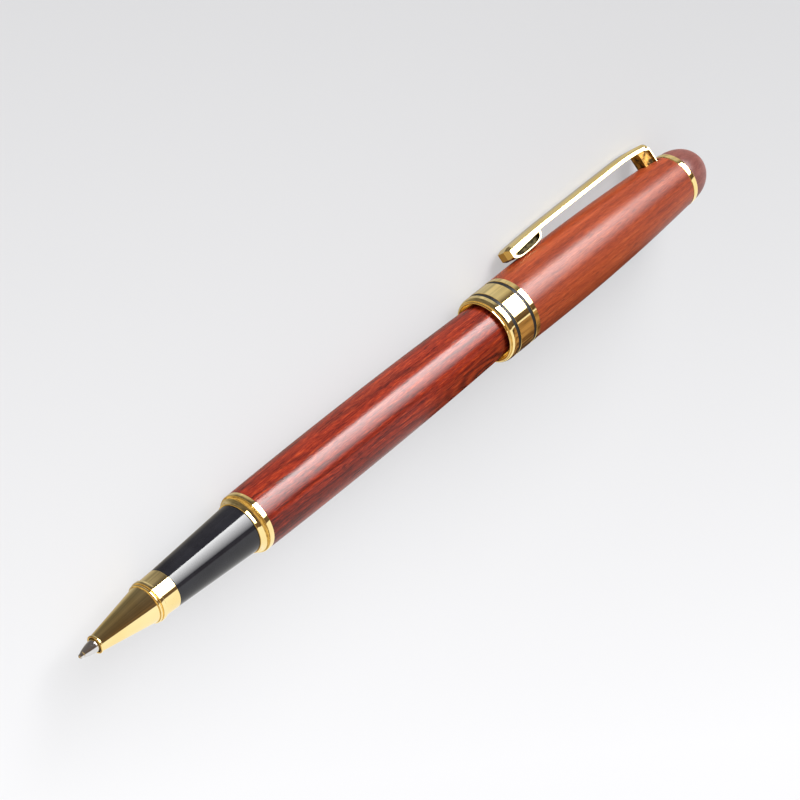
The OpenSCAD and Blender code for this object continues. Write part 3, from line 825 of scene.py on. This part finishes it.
# ---------------------------------------------------------------- clip
# Heights above the pen's axis and widths, in mm
CLIP_REACH, CLIP_THICK, CLIP_HALF = 10.2, 1.25, 1.8
CLIP_LOW = 7.02
BEND_RADIUS = 1.7
SHEET_LOW = 5.0
SHEET_CUT = 0.5
# The outer face curves down over these lengths at its free end and at its root
END_CURVE, END_DROP = 13, 0.0022
ROOT_CURVE, ROOT_DROP = 5.8, 0.0105
FOOT_REACH = 4.4
# Power of the foot's rounded edge: an ellipse would have 1
FOOT_POWER = 2 / 3
foot_mid = clip_end - 5.1 * MM
foot_back = clip_end - 9.5 * MM
bend = clip_back + BEND_RADIUS * MM


def clip_outer(x):
    """Height of the clip's outer face, which falls towards both ends."""
    from_end = max(0, END_CURVE - (clip_end - x) / MM)
    to_root = max(0, (post_front + ROOT_CURVE * MM - x) / MM)
    return CLIP_REACH - END_DROP * from_end ** 2 - ROOT_DROP * to_root ** 2


def clip_under(x):
    return clip_outer(x) - CLIP_THICK


def foot_edge(drop, behind, ahead, to_angle, count):
    """Lower edge of the foot or of its hollow, from behind its middle round towards the free
    end."""
    points = []
    for angle in spread(0, to_angle, count):
        a = math.radians(angle)
        reach = abs(math.cos(a)) ** FOOT_POWER
        x = foot_mid + (ahead if math.cos(a) < 0 else -behind) * reach * MM
        points.append((x, clip_under(x) - drop * max(0, math.sin(a)) ** FOOT_POWER))
    return points


def clip_outline(cut):
    """Side view of the clip with its outer face moved in by cut, in mm."""
    bend_low = clip_outer(bend) - BEND_RADIUS
    sheet_cut = min(cut, SHEET_CUT)
    return [
        (clip_end - cut * MM, clip_outer(clip_end) - 0.3 - cut),
        *[(x, clip_outer(x) - cut) for x in spread(clip_end - 1.1 * MM, bend, 40)],
        *[
            (
                bend - (BEND_RADIUS - sheet_cut) * MM * math.sin(a),
                bend_low + (BEND_RADIUS - cut) * math.cos(a),
            )
            for a in (math.radians(v) for v in spread(16, 90, 12))
        ],
        (clip_back + sheet_cut * MM, SHEET_LOW), (sheet_front, SHEET_LOW),
        (sheet_front, clip_under(bend) - 0.5),
        *[(x, clip_under(x)) for x in spread(bend + 0.3 * MM, foot_back, 40)[:-1]],
        *foot_edge(clip_under(foot_mid) - CLIP_LOW, FOOT_REACH, FOOT_REACH, 150, 24),
        (clip_end - cut * MM, CLIP_LOW + 0.85),
    ]


# The outer face is bevelled along both sides: places across the clip, and how far the face is
# moved in there
CLIP_BEVEL = [(CLIP_HALF, 0.70), (1.78, 0.65), (1.20, 0.05), (1.12, 0.01), (1.0, 0.0)]
clip_solid = layered("clip_gold", [(across, clip_outline(cut)) for across, cut in CLIP_BEVEL])

# The post, its narrower neck in the cap and its round foot, which turns in the anchor
NECK_HALF = 0.55 * MM
FOOT_HEIGHT, FOOT_RADIUS = 3.4, 0.9
pivot = (post_front + clip_back) / 2
post_back = sheet_front - 0.2 * MM
post_solid = across_clip("post", [
    (pivot + NECK_HALF, FOOT_HEIGHT), (pivot + NECK_HALF, SHEET_LOW),
    (post_front, SHEET_LOW), (post_front, clip_under(post_front) + 0.4),
    (post_back, clip_under(sheet_front) + 0.2), (post_back, SHEET_LOW),
    (pivot - NECK_HALF, SHEET_LOW), (pivot - NECK_HALF, FOOT_HEIGHT),
], POST_HALF, 0.3)
round_foot = across_clip("round_foot", [
    (pivot + FOOT_RADIUS * MM * math.cos(a), FOOT_HEIGHT + FOOT_RADIUS * math.sin(a))
    for a in (math.radians(15 * i) for i in range(24))
], POST_HALF)

# The hollow's floor stands this far from the clip's middle under the bar and at the foot's edge
HOLLOW_TOP_FLOOR, HOLLOW_LOW_FLOOR = 0.5, 1.4
HOLLOW_RIM = 0.16
HOLLOW_BEHIND, HOLLOW_AHEAD = 3.95, 3.6
HOLLOW_TOP_GAP, HOLLOW_TOP_FALL = 0.20, 0.74


def hollow(side):
    """The half-moon hollow on one side of the foot, deepest under the bar."""
    high, low = clip_under(foot_back) - HOLLOW_TOP_GAP, CLIP_LOW
    slope = HOLLOW_TOP_FALL / (clip_end - foot_back)
    depth = clip_under(foot_mid) - CLIP_LOW - HOLLOW_RIM
    edge = foot_edge(depth, HOLLOW_BEHIND, HOLLOW_AHEAD, 180, 32)
    loop = [(x, min(h, high - slope * (x - foot_back))) for x, h in edge]
    deepening = HOLLOW_TOP_FLOOR - HOLLOW_LOW_FLOOR
    floor = [
        clip_point(x, h, side * (HOLLOW_LOW_FLOOR + deepening * (h - low) / (high - low)))
        for x, h in loop
    ]
    outside = [clip_point(x, h, side * (CLIP_HALF + 0.5)) for x, h in loop]
    return lofted("hollow", [floor, outside])


def corner(side):
    """Takes one corner off the free end, seen from above."""
    past_end = clip_end + 0.1 * MM
    plan = [(clip_end - 1.0 * MM, 1.9), (past_end, 1.9), (past_end, 0.8)]
    return lofted("corner", [[clip_point(x, h, side * w) for x, w in plan] for h in (6.0, 11.0)])


clip_cuts = [hollow(1), hollow(-1), corner(1), corner(-1)]
clip_solid = combined(clip_solid, clip_cuts, "DIFFERENCE")
clip_solid = combined(clip_solid, [post_solid, round_foot], "UNION")
clip = finish_piece(clip_solid, "clip_gold", ["clip"], "clip", "gold_plate")

# The foot's hollow gets a near-black gold of painted shade, and the post an amber and dark gold of
# painted reflection and shade, in place of the plating
clip.data.materials.append(HOLLOW_PAINTED_SHADE_GOLD)
clip.data.materials.append(POST_PAINTED_REFLECTION_GOLD)
IN_HOLLOW, ON_POST = 1, 2
SIDEWAYS = 0.2
NEAR = 0.05
POST_LOW, POST_HIGH = 4.5, clip_under(post_front) - NEAR
for face in clip.data.polygons:
    x = face.center.x
    middle = face.center - Vector((0, AXIS_Y, AXIS_Z))
    across, height = abs(middle.dot(CLIP_SIDE)) / MM, middle.dot(CLIP_OUT) / MM
    sideways = abs(face.normal.dot(CLIP_SIDE)) > SIDEWAYS
    in_foot = foot_back < x < clip_end - 1.2 * MM and height < clip_under(x) + NEAR
    under_bend = sheet_front < x < post_front + 0.01 * MM
    if sideways and in_foot and across < CLIP_HALF - 0.2:
        face.material_index = IN_HOLLOW
    elif under_bend and across < POST_HALF + 0.1 and POST_LOW < height < POST_HIGH:
        face.material_index = ON_POST

# ---------------------------------------------------------------- floor
FLOOR_HALF = 4
FLOOR_ROUGHNESS = 0.9
# Direction on the floor in which it grows brighter, over the reach of the picture
FLOOR_FADE = (7.0, 11.0, 0.0)
PAPER_FAR, PAPER_NEAR = (0.25, 0.25, 0.255), (0.24, 0.24, 0.245)
PAPER_GLOW_FAR, PAPER_GLOW_NEAR = (0.33, 0.33, 0.335), (0.66, 0.66, 0.668)


def make_floor():
    """A pale paper floor that glows a little, so that the pen's shadow on it stays soft."""
    bm = bmesh.new()
    bmesh.ops.create_grid(bm, x_segments=1, y_segments=1, size=FLOOR_HALF)
    mesh = mesh_of("floor", bm)
    floor = show("floor", mesh)
    floor.visible_glossy = False
    s = Shader("floor_paper")
    coords = s.add("ShaderNodeTexCoord").outputs["Object"]
    fade = s.remap(s.vector("DOT_PRODUCT", coords, FLOOR_FADE), -1.0, 1.0, smooth=False)
    paper = s.principled(
        s.mix(fade, PAPER_FAR, PAPER_NEAR), FLOOR_ROUGHNESS,
        Specular_IOR_Level=0.0, Emission_Strength=1.0,
    )
    s.put(s.mix(fade, PAPER_GLOW_FAR, PAPER_GLOW_NEAR), paper.inputs["Emission Color"])
    mesh.materials.append(s.owner)


# ---------------------------------------------------------------- surroundings and lights
AMBIENT = 0.60
# Angles about the pen's axis in degrees: 0 looks away from the clip, 90 looks up
TURN_START = -50
SHADE_FROM, SHADE_TO = 87.8, 88.8
ROOM_COLOURS = [
    (TURN_START, (0.55, 0.52, 0.48)),
    (-44, (0.98, 0.97, 0.95)),
    (SHADE_FROM, (1.08, 1.08, 1.06)),
    (SHADE_TO, (0.14, 0.09, 0.06)),
    (107, (0.14, 0.10, 0.078)),
    (165, (0.13, 0.11, 0.10)),
    (238, (0.17, 0.16, 0.15)),
    (290, (0.50, 0.47, 0.42)),
]
WALL = (0.58, 0.56, 0.52)
MOTTLE_DARK, MOTTLE_PALE = (0.72, 0.72, 0.72), (1.32, 1.28, 1.2)
TABLE_DARK, TABLE_PALE = (0.27, 0.16, 0.065), (0.84, 0.62, 0.29)


def at(degrees):
    """An angle about the pen's axis as a share of a turn from TURN_START."""
    return (degrees - TURN_START) / 360


def make_world():
    """A bright room on the side away from the clip, a dark one on the clip's side, and even light
    for rough surfaces."""
    s = Shader("studio", world=True)
    direction = s.add("ShaderNodeTexCoord").outputs["Generated"]
    split = s.split(direction)
    angle = s.math("ARCTAN2", split["Z"], split["Y"])
    turn = s.plus(s.math("DIVIDE", angle, 2 * math.pi), at(0) + 1.0)
    turn = s.math("FRACT", turn)
    room = s.ramp(turn, [(at(degrees), colour) for degrees, colour in ROOM_COLOURS])

    # A paler wall behind the finial's end on the clip's side
    wall = s.times(s.remap(split["X"], -0.48, -0.54), s.remap(turn, at(170), at(195)))
    room = s.mix(s.times(wall, s.remap(turn, at(300), at(270))), room, WALL)

    # The dark side is mottled, as a furnished room would be
    mottle = s.noise(direction, scale=4.0, detail=3)
    mottled = s.mix(s.remap(mottle, NOISE_LOW, NOISE_HIGH), MOTTLE_DARK, MOTTLE_PALE)
    dark_side = s.remap(turn, at(SHADE_FROM), at(SHADE_TO))
    room = s.mix(1.0, room, s.mix(dark_side, (1, 1, 1), mottled), "MULTIPLY")

    # The warm table in front of the nose
    table = s.mix(s.remap(mottle, 0.35, 0.6), TABLE_DARK, TABLE_PALE)
    room = s.mix(s.remap(split["X"], 0.28, 0.50), room, table)

    background = s.add("ShaderNodeBackground")
    seen = s.mix(s.diffuse_ray(), room, (AMBIENT, AMBIENT, AMBIENT))
    s.put(seen, background.inputs["Color"])
    s.put(background.outputs[0], s.out.inputs["Surface"])
    bpy.context.scene.world = s.owner


SOFTBOX_DISTANCE = 1.0
SOFTBOX_ANGLE = math.radians(136.5)
SOFTBOX_X = -0.715
SOFTBOX_WIDTH, SOFTBOX_HEIGHT = 0.77, 1.10
SOFTBOX_TOP_LIGHT, SOFTBOX_LOW_LIGHT = 2.2, 26
SOFTBOX_DIFFUSE_SHARE = 0.5


def make_softbox():
    """A softbox above the clip's side as a glowing panel: its width lies along X, and its light
    grows from its top edge to its bottom edge."""
    towards = Vector((0, math.cos(SOFTBOX_ANGLE), math.sin(SOFTBOX_ANGLE)))
    centre = Vector((SOFTBOX_X, AXIS_Y, AXIS_Z)) + towards * SOFTBOX_DISTANCE
    along = Vector((1, 0, 0))
    down = (-towards).cross(along).normalized()
    mesh = bpy.data.meshes.new("key_softbox")
    corners = [(-1, -1), (1, -1), (1, 1), (-1, 1)]
    mesh.from_pydata([
        centre + along * (a * SOFTBOX_WIDTH / 2) + down * (b * SOFTBOX_HEIGHT / 2)
        for a, b in corners
    ], [], [(0, 1, 2, 3)])
    layer = mesh.uv_layers.new(name="panel")
    for loop, (a, b) in zip(layer.data, corners):
        loop.uv = ((a + 1) / 2, (b + 1) / 2)
    panel = show("key_softbox", mesh)
    panel.visible_camera = False
    s = Shader("key_softbox")
    split = s.split(s.add("ShaderNodeTexCoord").outputs["UV"])
    light = s.remap(split["Y"], 0.0, 1.0, SOFTBOX_TOP_LIGHT, SOFTBOX_LOW_LIGHT, smooth=False)
    softer = s.remap(s.diffuse_ray(), 0.0, 1.0, 1.0, SOFTBOX_DIFFUSE_SHARE, smooth=False)
    s.glow((1, 1, 1), s.times(light, softer))
    mesh.materials.append(s.owner)


CARD_RADIUS = 60 * MM
CARD_NEAR, CARD_FAR = TIP_X - 125 * MM, TIP_X - 199 * MM
CARD_START, CARD_END = -50, 86
CARD_SHADE, CARD_DARK, CARD_PALE = (0.05, 0.025, 0.022), (0.09, 0.04, 0.022), (0.50, 0.30, 0.15)


def make_card():
    """A bent brown card beside the cap, on the side away from the clip, which glows with its own
    brown light, darker towards its bottom. Only reflections see it."""
    bm = bmesh.new()
    rows = []
    for degrees in spread(CARD_START, CARD_END, 24):
        a = math.radians(degrees)
        y, z = AXIS_Y + CARD_RADIUS * math.cos(a), AXIS_Z + CARD_RADIUS * math.sin(a)
        rows.append([bm.verts.new((x, y, z)) for x in (CARD_NEAR, CARD_FAR)])
    for low, high in zip(rows, rows[1:]):
        bm.faces.new((low[0], low[1], high[1], high[0]))
    mesh = mesh_of("brown_card", bm)
    card = show("brown_card", mesh)
    card.visible_camera = card.visible_diffuse = card.visible_shadow = False
    s = Shader("brown_card")
    rise = s.remap(s.split(s.place())["Z"], -35, 45)
    cloud = s.remap(s.noise(s.place((0.05, 0.05, 0.05)), detail=3), 0.38, 0.62)
    s.glow(s.mix(rise, CARD_SHADE, s.mix(cloud, CARD_DARK, CARD_PALE)))
    mesh.materials.append(s.owner)


make_floor()
make_world()
make_softbox()
make_card()
bpy.context.scene.view_settings.view_transform = "Standard"
bpy.context.scene.view_settings.look = "None"
